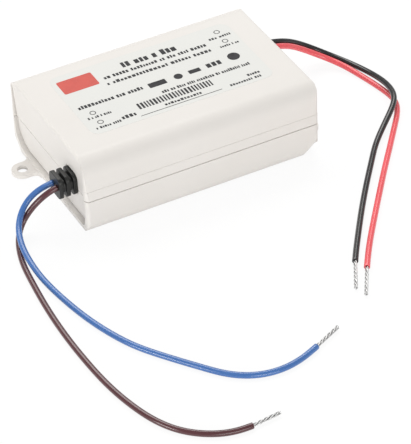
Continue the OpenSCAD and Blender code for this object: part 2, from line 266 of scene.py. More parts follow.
class Effects:
    """Shader node groups that several finishes share, each built once."""

    # Band of a noise that is spread over the whole of a mask
    BAND = {"From Min": 0.3, "From Max": 0.7}
    SMEAR_SCALE = 2.7
    LINE_STRETCH = (14.0, 0.25, 1.0)

    @classmethod
    @cache
    def moulded_grain(cls) -> bpy.types.NodeTree:
        """Fine grain of a moulded or cast face, with slow waves under it.

        Returns:
            The node group.
        """
        group = GroupTree("moulded_grain", {"Scale": 2500.0, "Wave Scale": 60.0, "Wave Share": 1.0})
        entry, place = group.entry, group.place()
        fine = group.noise(place, entry["Scale"], 3.0)
        slow = group.noise(place, entry["Wave Scale"], 1.0)
        return group.close(Height=group.math("MULTIPLY_ADD", slow, entry["Wave Share"], fine))

    @classmethod
    @cache
    def soft_mottle(cls) -> bpy.types.NodeTree:
        """Cloudy masks for small changes of tone and gloss.

        Returns:
            The node group.
        """
        group = GroupTree("soft_mottle", {"Scale": 50.0})
        scale, place = group.entry["Scale"], group.place()
        cloud = group.noise(place, scale, 4.0)
        smear = group.noise(place, group.math("MULTIPLY", scale, cls.SMEAR_SCALE), 2.0)
        tone, gloss = (
            group.add("ShaderNodeMapRange", {"Value": value, **cls.BAND}).outputs["Result"]
            for value in (cloud, smear)
        )
        return group.close(Tone=tone, Gloss=gloss)

    @classmethod
    @cache
    def drawn_lines(cls) -> bpy.types.NodeTree:
        """Faint lines that run along an extruded sleeve, on its own UV map.

        Returns:
            The node group.
        """
        group = GroupTree("drawn_lines", {"Scale": 1.0})
        place = group.add("ShaderNodeUVMap").outputs["UV"]
        stretch = group.add("ShaderNodeMapping", {"Vector": place, "Scale": cls.LINE_STRETCH})
        return group.close(Height=group.noise(stretch.outputs["Vector"], group.entry["Scale"], 2.0))


class Pattern(Enum):
    """What gives a finish its fine relief."""

    GRAIN = "grain"
    DRAWN = "drawn"
    TURNS = "turns"
    TRACKS = "tracks"


@dataclass(frozen=True)
class Finish:
    """Procedural material of one real finish.

    Attributes:
        name: Name of the material.
        colour: Usual colour, linear.
        shade: Colour of its darker clouds, linear.
        roughness: Usual roughness.
        gloss_swing: How far the roughness changes over the surface.
        cloud: Size of the clouds.
        grain: Size of the relief.
        depth: Depth of the relief.
        pattern: What makes the relief.
        metallic: 1 for a metal.
        specular: Strength of the reflection of a plastic.
    """

    # Period of a wave texture at scale 1, and the gaps and shift of the tracks
    WAVE_PERIOD = 0.31
    TRACK_GAP = 0.06
    TRACK_SHIFT = 0.37

    name: str
    colour: Colour
    shade: Colour
    roughness: float
    gloss_swing: float = 0.08
    cloud: float = 20 * MM
    grain: float = 0.4 * MM
    depth: float = 0.004 * MM
    pattern: Pattern = Pattern.GRAIN
    metallic: float = 0.0
    specular: float = 0.5

    def material(self) -> bpy.types.Material:
        """Builds the material once.

        Returns:
            The material, found again by its name on later calls.
        """
        found = bpy.data.materials.get(self.name)
        if found is not None:
            return found
        made, tree = blank_material(self.name)
        made.diffuse_color = (*self.colour, 1.0)
        mottle = tree.add("ShaderNodeGroup", node_tree=Effects.soft_mottle())
        mottle.inputs["Scale"].default_value = 1.0 / self.cloud
        swing = tree.math("MULTIPLY", mottle.outputs["Gloss"], self.gloss_swing)
        bump = tree.add("ShaderNodeBump", {"Height": self._relief(tree), "Distance": self.depth})
        tone = tree.blend(self._tone(tree, mottle.outputs["Tone"]), (*self.colour, 1.0), (*self.shade, 1.0))
        shader = tree.add(
            "ShaderNodeBsdfPrincipled",
            {
                "Base Color": tone,
                "Roughness": tree.math("ADD", swing, self.roughness - self.gloss_swing / 2),
                "Normal": bump.outputs["Normal"],
                "Metallic": self.metallic,
                "Specular IOR Level": self.specular,
            },
        )
        tree.add("ShaderNodeOutputMaterial", {"Surface": shader.outputs["BSDF"]})
        return made

    def _relief(self, tree: ShaderTree) -> bpy.types.NodeSocket:
        """Adds the nodes of the finish's relief.

        Args:
            tree: The material's tree.

        Returns:
            The height's socket.
        """
        if self.pattern is Pattern.DRAWN:
            return tree.add("ShaderNodeGroup", node_tree=Effects.drawn_lines()).outputs["Height"]
        if self.pattern is Pattern.TURNS:
            inputs = {"Vector": tree.place(), "Scale": self.WAVE_PERIOD / self.grain}
            return tree.add("ShaderNodeTexWave", inputs, bands_direction="Z").outputs["Fac"]
        grain = tree.add("ShaderNodeGroup", node_tree=Effects.moulded_grain())
        grain.inputs["Scale"].default_value = 1.0 / self.grain
        grain.inputs["Wave Scale"].default_value = 1.0 / self.cloud
        return grain.outputs["Height"]

    def _tone(self, tree: ShaderTree, cloud: bpy.types.NodeSocket) -> bpy.types.NodeSocket:
        """Adds what decides between the finish's two colours.

        Args:
            tree: The material's tree.
            cloud: The soft clouds of the surface.

        Returns:
            The share of the shade colour.
        """
        if self.pattern is not Pattern.TRACKS:
            return cloud
        inputs = {"Vector": tree.place(), "Scale": 1.0 / self.cloud, "Mortar Size": self.TRACK_GAP}
        return tree.add("ShaderNodeTexBrick", inputs, offset=self.TRACK_SHIFT).outputs["Fac"]


class Palette:
    """Finishes of the driver's pieces."""

    CASE = Finish("satin_white_case", (0.80, 0.775, 0.745), (0.785, 0.758, 0.725), 0.54, cloud=30 * MM)
    BUSHING = Finish(
        "black_bushing", (0.010, 0.011, 0.010), (0.006, 0.007, 0.006), 0.40,
        grain=0.25 * MM, depth=0.008 * MM,
    )
    FILM = Finish(
        "label_film", (0.755, 0.76, 0.735), (0.742, 0.748, 0.724), 0.42,
        cloud=25 * MM, depth=0.002 * MM,
    )
    INK = Finish(
        "label_ink", (0.032, 0.032, 0.035), (0.055, 0.055, 0.058), 0.55,
        cloud=1.2 * MM, specular=0.15,
    )
    RED_INK = Finish("label_red_ink", (0.66, 0.075, 0.05), (0.60, 0.065, 0.045), 0.45, cloud=3 * MM)
    # The tin's very dark clouds are painted shade: random dark specks that stand in for the shade in the gaps
    # between the strands.
    TIN = Finish(
        "tinned_strand", (0.56, 0.55, 0.53), (0.20, 0.195, 0.19), 0.30,
        cloud=0.8 * MM, grain=0.1 * MM, metallic=1.0,
    )
    BOARD = Finish(
        "solder_mask", (0.018, 0.11, 0.04), (0.045, 0.19, 0.08), 0.35,
        cloud=6 * MM, pattern=Pattern.TRACKS,
    )
    EPOXY = Finish("dark_epoxy", (0.022, 0.022, 0.024), (0.032, 0.032, 0.034), 0.55, grain=0.15 * MM)
    PALE_EPOXY = Finish("pale_epoxy", (0.70, 0.69, 0.65), (0.64, 0.63, 0.59), 0.5, grain=0.15 * MM)
    FERRITE = Finish(
        "ferrite", (0.055, 0.055, 0.058), (0.035, 0.035, 0.037), 0.7,
        grain=0.2 * MM, depth=0.02 * MM,
    )
    COPPER = Finish(
        "enamelled_copper", (0.62, 0.22, 0.08), (0.45, 0.13, 0.04), 0.28,
        grain=0.5 * MM, depth=0.15 * MM, pattern=Pattern.TURNS, metallic=1.0,
    )
    TAPE = Finish("winding_tape", (0.72, 0.46, 0.05), (0.66, 0.40, 0.04), 0.3, cloud=8 * MM)
    FILM_BOX = Finish("film_box", (0.74, 0.52, 0.06), (0.68, 0.46, 0.05), 0.4)
    DISC = Finish("dipped_disc", (0.04, 0.12, 0.40), (0.03, 0.09, 0.32), 0.3, depth=0.03 * MM)
    FUSE = Finish("fuse_sleeve", (0.50, 0.38, 0.25), (0.44, 0.32, 0.20), 0.55)
    CAN = Finish("can_sleeve", (0.024, 0.030, 0.10), (0.018, 0.022, 0.075), 0.32)
    SINK = Finish("sheared_sheet", (0.62, 0.63, 0.64), (0.54, 0.55, 0.56), 0.38, metallic=1.0)


@dataclass
class PhotoCamera:
    """Camera at the photograph's place.

    Attributes:
        azimuth: Degrees from the front, towards the left.
        elevation: Degrees above the floor.
        roll: Turn about the line of sight, in degrees.
        distance: From the target.
        target: Point in the middle of the view.
        focal_px: Focal length in pixels of the photograph.
        height_px: Height of the photograph, its long side.
        sensor_mm: Long side of the sensor.
        near: Nearest distance that is drawn.
        far: Farthest distance that is drawn.
    """

    azimuth: float = -26.41
    elevation: float = 38.24
    roll: float = -2.42
    distance: float = 0.844
    target: Point = (-0.0146, -0.0562, 0.014)
    focal_px: float = 2729.0
    height_px: float = 444.0
    sensor_mm: float = 36.0
    near: float = 0.01
    far: float = 20.0

    def place(self) -> bpy.types.Object:
        """Makes the camera and puts it in the scene.

        Returns:
            The camera object.
        """
        lens = bpy.data.cameras.new("photo_camera")
        lens.sensor_width = self.sensor_mm
        lens.lens = self.focal_px * self.sensor_mm / self.height_px
        lens.clip_start = self.near
        lens.clip_end = self.far
        a, e, r = (math.radians(x) for x in (self.azimuth, self.elevation, self.roll))
        back = Vector((math.sin(a) * math.cos(e), -math.cos(a) * math.cos(e), math.sin(e)))
        right = Vector((0.0, 0.0, 1.0)).cross(back).normalized()
        up = back.cross(right)
        across = right * math.cos(r) + up * math.sin(r)
        along = up * math.cos(r) - right * math.sin(r)
        camera = bpy.data.objects.new("photo_camera", lens)
        turn = Matrix((across, along, back)).transposed().to_4x4()
        camera.matrix_world = Matrix.Translation(Vector(self.target) + back * self.distance) @ turn
        bpy.context.scene.collection.objects.link(camera)
        bpy.context.scene.camera = camera
        return camera


@dataclass
class Softbox:
    """One area lamp that looks at the middle of the case.

    Attributes:
        name: Name of the lamp.
        place: Where it stands.
        width: Its level side.
        height: Its other side.
        power: Watts.
        colour: Its tint.
    """

    name: str
    place: Point
    width: float
    height: float
    power: float
    colour: Colour = (1.0, 0.985, 0.96)

    def hang(self) -> None:
        """Adds the lamp to the scene."""
        lamp = bpy.data.lights.new(self.name, "AREA")
        lamp.shape = "RECTANGLE"
        lamp.size = self.width
        lamp.size_y = self.height
        lamp.energy = self.power
        lamp.color = self.colour
        holder = bpy.data.objects.new(self.name, lamp)
        holder.location = self.place
        holder.rotation_mode = "QUATERNION"
        holder.rotation_quaternion = (-Vector(self.place)).to_track_quat("-Z", "Y")
        bpy.context.scene.collection.objects.link(holder)


@dataclass
class Studio:
    """White floor, soft surroundings and three softboxes.

    Attributes:
        ambient: Strength of the surroundings.
        floor_side: Side of the floor.
        floor_tone: Reflectance of the floor as it lights the object.
        shadow_share: Share of the floor's picture that takes shadows.
        glow: Light that the camera sees added on the floor, so that it is white.
        floor_drop: How far the floor lies under the part's foot.
    """

    LAMPS = (
        Softbox("rear_softbox", (0.12, 0.48, 0.74), 1.0, 0.5, 5.7),
        Softbox("front_softbox", (-0.10, -0.95, 0.13), 0.6, 0.4, 3.2),
        Softbox("left_softbox", (-0.80, -0.20, 0.12), 0.3, 0.3, 2.1),
    )

    ambient: float = 0.50
    floor_side: float = 6.0
    floor_tone: float = 0.97
    shadow_share: float = 0.11
    glow: float = 0.90
    floor_drop: float = 0.02 * MM

    def build(self) -> None:
        """Makes the surroundings, the floor and the lamps."""
        scene = bpy.context.scene
        scene.view_settings.view_transform = "Standard"
        scene.world = bpy.data.worlds.new("surroundings")
        scene.world.use_nodes = True
        backdrop = scene.world.node_tree.nodes["Background"]
        backdrop.inputs["Color"].default_value = (1.0, 1.0, 1.0, 1.0)
        backdrop.inputs["Strength"].default_value = self.ambient
        half = self.floor_side / 2
        mesh = bpy.data.meshes.new("floor")
        corners = [(-half, -half, 0), (half, -half, 0), (half, half, 0), (-half, half, 0)]
        mesh.from_pydata(corners, [], [(0, 1, 2, 3)])
        mesh.materials.append(self._floor_material())
        floor = link_object("floor", mesh)
        floor.location.z = -self.floor_drop
        for lamp in self.LAMPS:
            lamp.hang()

    def _floor_material(self) -> bpy.types.Material:
        """White in the picture and in reflections, with the object's shadow kept.

        Returns:
            The floor's material.
        """
        made, tree = blank_material("white_floor")
        path = tree.add("ShaderNodeLightPath").outputs
        seen = tree.math("MAXIMUM", path["Is Camera Ray"], path["Is Glossy Ray"])
        seen = tree.math("MAXIMUM", seen, path["Is Transmission Ray"])
        lit, shadowed = (
            tree.add("ShaderNodeBsdfDiffuse", {"Color": (tone, tone, tone, 1.0)}).outputs[0]
            for tone in (self.floor_tone, self.shadow_share)
        )
        glow = tree.add("ShaderNodeEmission", {"Strength": self.glow}).outputs[0]
        shown = tree.chain("ShaderNodeAddShader", shadowed, glow)
        both = tree.chain("ShaderNodeMixShader", seen, lit, shown)
        tree.add("ShaderNodeOutputMaterial", {"Surface": both})
        return made


@dataclass
class Moulding:
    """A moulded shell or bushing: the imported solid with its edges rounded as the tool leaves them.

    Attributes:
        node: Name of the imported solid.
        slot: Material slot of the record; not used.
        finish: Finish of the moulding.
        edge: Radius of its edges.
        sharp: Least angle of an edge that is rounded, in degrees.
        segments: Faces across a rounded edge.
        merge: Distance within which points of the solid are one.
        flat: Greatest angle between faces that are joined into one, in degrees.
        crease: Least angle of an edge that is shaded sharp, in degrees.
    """

    node: str
    slot: str
    finish: Finish
    edge: float
    sharp: float = 30.0
    segments: int = 2
    merge: float = 0.002 * MM
    flat: float = 0.6
    crease: float = 55.0

    def build(self, nodes: dict[str, bpy.types.Object]) -> bpy.types.Object:
        """Makes the moulding in place of its solid.

        Args:
            nodes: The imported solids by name.

        Returns:
            The new piece.
        """
        shape = bmesh.new()
        shape.from_mesh(nodes[self.node].data)
        bmesh.ops.remove_doubles(shape, verts=shape.verts, dist=self.merge)
        flat = math.radians(self.flat)
        bmesh.ops.dissolve_limit(shape, angle_limit=flat, verts=shape.verts, edges=shape.edges)
        mesh = bpy.data.meshes.new(self.node + "_blank")
        shape.to_mesh(mesh)
        shape.free()
        blank = link_object(self.node + "_blank", mesh)
        rounding = blank.modifiers.new("edges", "BEVEL")
        rounding.width = self.edge
        rounding.segments = self.segments
        rounding.limit_method = "ANGLE"
        rounding.angle_limit = math.radians(self.sharp)
        rounding.use_clamp_overlap = True
        rounding.miter_outer = "MITER_ARC"
        mesh = plain_mesh(blank, self.node + "_moulding")
        mesh.shade_smooth()
        mesh.set_sharp_from_angle(angle=math.radians(self.crease))
        blank = link_object(self.node + "_moulding", mesh)
        level = blank.modifiers.new("flat_faces", "WEIGHTED_NORMAL")
        level.keep_sharp = True
        mesh = plain_mesh(blank, self.node + "_moulding")
        mesh.materials.clear()
        mesh.materials.append(self.finish.material())
        piece = link_object(self.node + "_moulding", mesh)
        take_place(piece, self.node)
        return piece


class GeometryTree(GroupTree):
    """Short way to build one geometry node tree with named inputs."""

    KIND = "GeometryNodeTree"
    RESULT = "NodeSocketGeometry"

    def vector(self, x: object = 0.0, y: object = 0.0, z: object = 0.0) -> bpy.types.NodeSocket:
        """Joins three numbers or outputs into a vector."""
        return self.chain("ShaderNodeCombineXYZ", x, y, z)

    def random(self, low: object, high: object, seed: object) -> bpy.types.NodeSocket:
        """Adds a random number for each point, from low to high, and gives its socket."""
        inputs = {"Min": low, "Max": high, "Seed": seed}
        return self.add("FunctionNodeRandomValue", inputs, data_type="FLOAT").outputs["Value"]

    def finish(self, geometry: bpy.types.NodeSocket) -> None:
        """Ends the tree in real geometry with its material.

        Args:
            geometry: What the tree has made.
        """
        real = self.add("GeometryNodeRealizeInstances", {"Geometry": geometry})
        smooth = self.add("GeometryNodeSetShadeSmooth", {"Geometry": real.outputs[0]})
        dressed = self.add(
            "GeometryNodeSetMaterial", {"Geometry": smooth.outputs[0], "Material": self.entry["Material"]}
        )
        self.close(Geometry=dressed.outputs[0])

    def mesh(self, name: str, values: dict[str, object]) -> bpy.types.Mesh:
        """Runs the tree with its own values.

        Args:
            name: Name of the mesh.
            values: Input names with their values.

        Returns:
            A plain mesh in the tree's own frame.
        """
        holder = link_object(name + "_tree", bpy.data.meshes.new(name + "_seed"))
        modifier = holder.modifiers.new("tree", "NODES")
        modifier.node_group = self.tree
        for label, value in values.items():
            modifier[self.names[label]] = value
        return plain_mesh(holder, name)


class StrandTree(GeometryTree):
    """Twisted bundle of strands along Z."""

    # The bundle opens towards its end, where the strands are cut unevenly
    FLARE = 1.12
    SHORTEST = 0.955
    CORE_RADIUS = 0.35
    CORE_LENGTH = 0.95

    def __init__(self) -> None:
        """Builds the tree."""
        super().__init__(
            "twisted_strands",
            {
                "Length": 0.01,
                "Lay Radius": 0.0004,
                "Strand Radius": 0.0002,
                "Turns": 2.0,
                "Strands": 8,
                "Seed": 1,
                "Material": None,
            },
        )
        entry = self.entry
        helix = self.add(
            "GeometryNodeCurveSpiral",
            {
                "Resolution": 20,
                "Rotations": entry["Turns"],
                "Start Radius": entry["Lay Radius"],
                "End Radius": self.math("MULTIPLY", entry["Lay Radius"], self.FLARE),
                "Height": entry["Length"],
            },
        )
        profile = self.add(
            "GeometryNodeCurvePrimitiveCircle", {"Resolution": 8, "Radius": entry["Strand Radius"]}
        )
        strand = self.add(
            "GeometryNodeCurveToMesh",
            {"Curve": helix.outputs[0], "Profile Curve": profile.outputs[0], "Fill Caps": True},
        )
        points = self.add("GeometryNodePoints", {"Count": entry["Strands"]})
        index = self.add("GeometryNodeInputIndex").outputs[0]
        turn = self.math("DIVIDE", self.math("MULTIPLY", index, math.tau), entry["Strands"])
        spin = self.add("FunctionNodeEulerToRotation", {"Euler": self.vector(z=turn)})
        trim = self.random(self.SHORTEST, 1.0, entry["Seed"])
        bundle = self.add(
            "GeometryNodeInstanceOnPoints",
            {
                "Points": points.outputs[0],
                "Instance": strand.outputs[0],
                "Rotation": spin.outputs[0],
                "Scale": self.vector(1.0, 1.0, trim),
            },
        )
        depth = self.math("MULTIPLY", entry["Length"], self.CORE_LENGTH)
        core = self.add(
            "GeometryNodeMeshCylinder",
            {
                "Vertices": 12,
                "Radius": self.math("MULTIPLY", entry["Lay Radius"], self.CORE_RADIUS),
                "Depth": depth,
            },
        )
        lifted = self.add(
            "GeometryNodeTransform",
            {
                "Geometry": core.outputs["Mesh"],
                "Translation": self.vector(z=self.math("MULTIPLY", depth, 0.5)),
            },
        )
        both = self.add("GeometryNodeJoinGeometry")
        self.feed(both.inputs[0], bundle.outputs[0])
        self.feed(both.inputs[0], lifted.outputs[0])
        self.finish(both.outputs[0])


class PrintTree(GeometryTree):
    """Row of plain blocks in uneven widths, which stands for a line of print."""

    # Narrowest and widest block, and the seeds of the second and third draw
    NARROW = 0.6
    WIDE = 1.2
    WORD_SEED = 7.0
    HEIGHT_SEED = 19.0

    def __init__(self) -> None:
        """Builds the tree."""
        super().__init__(
            "print_row",
            {
                "Length": 0.02,
                "Height": 0.0015,
                "Low Share": 0.7,
                "Blocks": 12,
                "Gap": 0.35,
                "Word Chance": 0.2,
                "Word Gap": 0.9,
                "Seed": 1,
                "Material": None,
            },
        )
        entry = self.entry
        points = self.add("GeometryNodePoints", {"Count": entry["Blocks"]})
        width = self.random(self.NARROW, self.WIDE, entry["Seed"])
        chance = self.random(0.0, 1.0, self.math("ADD", entry["Seed"], self.WORD_SEED))
        ends = self.math("LESS_THAN", chance, entry["Word Chance"])
        after = self.math("ADD", entry["Gap"], self.math("MULTIPLY", ends, entry["Word Gap"]))
        sums = self.add(
            "GeometryNodeAccumulateField", {"Value": self.math("ADD", width, after)}, data_type="FLOAT"
        )
        unit = self.math("DIVIDE", entry["Length"], sums.outputs["Total"])
        start = self.math("MULTIPLY", sums.outputs["Trailing"], unit)
        across = self.math("MULTIPLY", width, unit)
        share = self.random(entry["Low Share"], 1.0, self.math("ADD", entry["Seed"], self.HEIGHT_SEED))
        tall = self.math("MULTIPLY", share, entry["Height"])
        place = self.vector(
            self.math("ADD", start, self.math("MULTIPLY", across, 0.5)), self.math("MULTIPLY", tall, 0.5)
        )
        spread = self.add("GeometryNodeSetPosition", {"Geometry": points.outputs[0], "Position": place})
        block = self.add(
            "GeometryNodeMeshGrid", {"Size X": 1.0, "Size Y": 1.0, "Vertices X": 2, "Vertices Y": 2}
        )
        row = self.add(
            "GeometryNodeInstanceOnPoints",
            {
                "Points": spread.outputs[0],
                "Instance": block.outputs["Mesh"],
                "Scale": self.vector(across, tall, 1.0),
            },
        )
        self.finish(row.outputs[0])


class LeadColour(Enum):
    """The four leads by the colour of their sleeves."""

    BLUE = "blue"
    BROWN = "brown"
    BLACK = "black"
    RED = "red"

    @property
    def finish(self) -> Finish:
        """Finish of the sleeve.

        Returns:
            A glossy drawn plastic in the lead's colour.
        """
        colour, shade = {
            "blue": ((0.058, 0.172, 0.47), (0.048, 0.150, 0.43)),
            "brown": ((0.095, 0.026, 0.032), (0.080, 0.021, 0.026)),
            "black": ((0.014, 0.014, 0.015), (0.010, 0.010, 0.011)),
            "red": ((0.92, 0.116, 0.136), (0.85, 0.100, 0.116)),
        }[self.value]
        return Finish(
            self.value + "_sleeve", colour, shade, 0.2,
            cloud=9 * MM, depth=0.02 * MM, pattern=Pattern.DRAWN, specular=0.7,
        )


@dataclass
class Lead:
    """One free lead: a drawn sleeve with bare twisted strands at its far end.

    Attributes:
        colour: Which lead it is.
        route: Points past the straight exit, in millimetres; the last is the strands' end.
        straight: Length of the straight exit.
        sides: Corners round the sleeve.
        bore: Radius of the hole that the strands leave, as a share of the sleeve's.
        lay_radius: Radius on which the strands lie.
        strand_radius: Radius of one strand.
        pitch: Length of one turn of the strands.
        strands: How many strands there are.
        lip: Rounding of the sleeve's cut end.
        mouth: Depth of the hole in the sleeve's end.
        inside: Length of the strands inside the sleeve.
        crease: Least angle of an edge that is shaded sharp, in degrees.
    """

    colour: LeadColour
    route: Sequence[Point]
    straight: float = 0.5 * MM
    sides: int = 16
    bore: float = 0.68
    lay_radius: float = 0.38 * MM
    strand_radius: float = 0.205 * MM
    pitch: float = 8.0 * MM
    strands: int = 4
    lip: float = 0.07 * MM
    mouth: float = 0.5 * MM
    inside: float = 0.45 * MM
    crease: float = 50.0

    def build(self, strands: StrandTree) -> list[bpy.types.Object]:
        """Makes the sleeve and its strands in place of their solids.

        Args:
            strands: Tree that twists the strands.

        Returns:
            The sleeve and the strands.
        """
        name = self.colour.value
        low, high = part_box(name + "_tail")
        radius = (high.y - low.y) / 2
        outward = 1.0 if high.x > -low.x else -1.0
        leave = Vector((high.x if outward > 0 else low.x, (low.y + high.y) / 2, high.z - radius))
        run = [leave, leave + Vector((outward * self.straight, 0, 0))]
        run += [Vector(p) * MM for p in self.route]
        before = leave - Vector((outward * self.straight, 0, 0))
        path = [Vector((p.x, p.y, max(p.z, radius))) for p in self._relax(self._smooth([before, *run]))]
        sleeve = self._sleeve(path, radius)
        tip = self._strands(strands, run[-2], run[-1])
        take_place(sleeve, name + "_lead")
        take_place(tip, name + "_tip")
        return [sleeve, tip]

    @staticmethod
    def _smooth(points: Sequence[Vector], step: float = 0.9 * MM) -> list[Vector]:
        """Runs a smooth curve through points.

        Args:
            points: A point before the start, the points of the run, and one past its end.
            step: Distance between the points of the curve.

        Returns:
            Points from the second to the last but one.
        """
        line = [points[1]]
        for p0, p1, p2, p3 in zip(points, points[1:], points[2:], points[3:]):
            spans = ((p0, p1), (p1, p2), (p2, p3))
            k0, k1, k2 = (max((b - a).length, 1e-6) ** 0.5 for a, b in spans)
            m1 = (p2 - p1) + k1 * ((p1 - p0) / k0 - (p2 - p0) / (k0 + k1))
            m2 = (p2 - p1) + k1 * ((p3 - p2) / k2 - (p3 - p1) / (k1 + k2))
            count = max(2, math.ceil((p2 - p1).length / step))
            for i in range(1, count + 1):
                t = i / count
                line.append(
                    p1 * (2 * t**3 - 3 * t**2 + 1)
                    + m1 * (t**3 - 2 * t**2 + t)
                    + p2 * (3 * t**2 - 2 * t**3)
                    + m2 * (t**3 - t**2)
                )
        return line

    @staticmethod
    def _relax(line: Sequence[Vector], passes: int = 26) -> list[Vector]:
        """Eases the bends of a curve as a springy lead does, with its ends held.

        Args:
            line: Points of the curve.
            passes: How often each point moves towards its neighbours.

        Returns:
            The eased curve.
        """
        eased = list(line)
        for _ in range(passes):
            inner = [p * 0.5 + (a + b) * 0.25 for a, p, b in zip(eased, eased[1:], eased[2:])]
            eased = [eased[0], *inner, eased[-1]]
        return eased

    def _sleeve(self, path: Sequence[Vector], radius: float) -> bpy.types.Object:
        """Sweeps the sleeve along its path and cuts its end square.

        Args:
            path: Centres of its rings.
            radius: Its outer radius.

        Returns:
            The sleeve, with a UV map that runs along it.
        """
        shape = bmesh.new()
        rings, runs, normal, gone = [], [], Vector((0.0, 0.0, 1.0)), 0.0
        last = len(path) - 1
        stations = [(i, 0.0, radius) for i in range(last)]
        lip, bore = self.lip, self.bore * radius
        round_in = 0.3 * lip
        stations += [(last, -lip, radius), (last, -round_in, radius - round_in)]
        stations += [(last, 0.0, radius - lip), (last, 0.0, bore), (last, -self.mouth, bore)]
        for i, shift, size in stations:
            ahead = (path[min(i + 1, last)] - path[max(i - 1, 0)]).normalized()
            normal = (normal - ahead * normal.dot(ahead)).normalized()
            side = ahead.cross(normal)
            centre = path[i] + ahead * shift
            angles = [math.tau * k / self.sides for k in range(self.sides)]
            spokes = [normal * math.cos(t) + side * math.sin(t) for t in angles]
            ring = [shape.verts.new(centre + size * spoke) for spoke in spokes]
            gone += (path[i] - path[i - 1]).length if i and shift == 0.0 else 0.0
            rings.append(ring)
            runs.append(gone)
        uv = shape.loops.layers.uv.new("run")
        around = math.tau * radius
        for i, (near, far) in enumerate(zip(rings, rings[1:])):
            for k in range(self.sides):
                n = (k + 1) % self.sides
                face = shape.faces.new((near[k], near[n], far[n], far[k]))
                face.smooth = True
                places = ((k, i), (k + 1, i), (k + 1, i + 1), (k, i + 1))
                for loop, (turn, ring) in zip(face.loops, places):
                    loop[uv].uv = (turn / self.sides, runs[ring] / around)
        shape.faces.new(list(reversed(rings[0])))
        shape.faces.new(rings[-1])
        bmesh.ops.recalc_face_normals(shape, faces=shape.faces)
        mesh = bpy.data.meshes.new(self.colour.value + "_sleeve")
        shape.to_mesh(mesh)
        shape.free()
        mesh.set_sharp_from_angle(angle=math.radians(self.crease))
        mesh.materials.append(self.colour.finish.material())
        return link_object(self.colour.value + "_sleeve", mesh)

    def _strands(self, tree: StrandTree, start: Vector, end: Vector) -> bpy.types.Object:
        """Twists the bare strands and lays them in line with the sleeve.

        Args:
            tree: Tree that makes the strands.
            start: Where the sleeve ends.
            end: Where the strands end.

        Returns:
            The bundle of strands.
        """
        ahead = (end - start).normalized()
        length = (end - start).length + self.inside
        mesh = tree.mesh(
            self.colour.value + "_strands",
            {
                "Length": length,
                "Lay Radius": self.lay_radius,
                "Strand Radius": self.strand_radius,
                "Turns": length / self.pitch,
                "Strands": self.strands,
                "Seed": len(self.route),
                "Material": Palette.TIN.material(),
            },
        )
        turn = ahead.to_track_quat("Z", "Y").to_matrix().to_4x4()
        mesh.transform(Matrix.Translation(start - ahead * self.inside) @ turn)
        return link_object(self.colour.value + "_strands", mesh)


class LeadSet:
    """The input pair and the output pair, with the routes of the part's source."""

    # Height of a lead that lies on the floor
    LIE = 1.0
    BLUE: Sequence[Point] = [
        (-50.4, -14.8, 14.3), (-52.9, -13.9, 12.7), (-55.3, -13.3, 10.5), (-57.8, -13.9, 8.3),
        (-60, -15.9, 6.6), (-61.7, -18.5, 5.5), (-63.1, -21.9, 4.6), (-64.1, -25.8, 3.8),
        (-64.6, -29.9, 3.2), (-64.8, -34.7, 2.5), (-64.5, -40.5, 1.5), (-63.3, -50, LIE),
        (-61.2, -62, LIE), (-58, -73.5, LIE), (-53.6, -84, LIE),
        (-47, -94, LIE), (-41, -102.2, LIE), (-36, -108.6, LIE), (-31, -112.5, LIE), (-25.5, -114.7, LIE),
        (-19.5, -115.2, LIE), (-13.5, -114.1, LIE), (-6.6, -111.3, LIE), (3.6, -106.6, LIE),
    ]
    BROWN: Sequence[Point] = [
        (-50.5, -18, 14), (-53, -17.3, 12), (-55.1, -16.1, 9.1), (-56.9, -15.2, 6.2), (-58.7, -15.1, 3.9),
        (-60.6, -16.5, 2.2), (-62.6, -19.7, 1.2), (-64.7, -25.2, LIE), (-66.4, -31.5, LIE),
        (-67.7, -41, LIE),
        (-69.1, -55, LIE), (-69.7, -69, LIE), (-69.5, -82, LIE), (-68.6, -95, LIE), (-66.7, -106, LIE),
        (-63.7, -116, LIE), (-59.8, -123, LIE), (-54.6, -128, LIE), (-49.4, -131, LIE),
        (-44.6, -132.3, LIE), (-39.9, -132.4, LIE), (-30.1, -131.5, LIE),
    ]
    BLACK: Sequence[Point] = [
        (53, 18.6, 13.8), (57.6, 19.7, 11.5), (64.2, 20.4, 7), (70.8, 17.2, 3.1), (75.7, 11, 1.5),
        (78.6, 1.4, 2), (78.9, -8.2, 3.7), (78.2, -14.8, 4), (76.2, -18.8, 3.9), (72.6, -22.2, 3.2),
        (66.9, -26.9, 1.8), (60.3, -33.1, LIE), (54.2, -40.7, LIE), (47, -49.8, LIE), (39, -60.4, LIE),
        (31, -71.6, LIE), (23.7, -82.3, LIE), (17.1, -94, LIE),
    ]
    RED: Sequence[Point] = [
        (52.4, 15.5, 13.9), (56, 16.5, 12), (60.7, 17.6, 8.6), (67.4, 16.2, 4.2), (73, 10.5, 1.8),
        (75.9, 2.2, LIE), (77.5, -5.2, LIE), (78.5, -11.4, LIE), (78.5, -15.6, LIE), (77, -19.4, LIE),
        (73.9, -23.8, LIE), (69, -29.9, LIE), (63, -37.4, LIE), (56.8, -45, LIE), (47.2, -57.2, LIE),
        (39.2, -67.5, LIE), (32, -77, LIE), (25.4, -86.6, LIE), (18.2, -98.2, LIE),
    ]

    def build(self) -> list[bpy.types.Object]:
        """Makes the four leads.

        Returns:
            Their sleeves and strands.
        """
        strands = StrandTree()
        routes = (self.BLUE, self.BROWN, self.BLACK, self.RED)
        leads = [Lead(colour, route) for colour, route in zip(LeadColour, routes)]
        return [piece for lead in leads for piece in lead.build(strands)]


@dataclass(frozen=True)
class Row:
    """A row of print blocks on the label, in millimetres.

    Attributes:
        x0: Left end.
        x1: Right end.
        y: Foot of the row.
        height: Tallest block.
        blocks: How many blocks it has.
        low: Least height as a share of the tallest.
        gap: Space after a block, in block widths.
        words: Chance of a wider space after a block.
    """

    x0: float
    x1: float
    y: float
    height: float
    blocks: int
    low: float = 0.68
    gap: float = 0.4
    words: float = 0.17


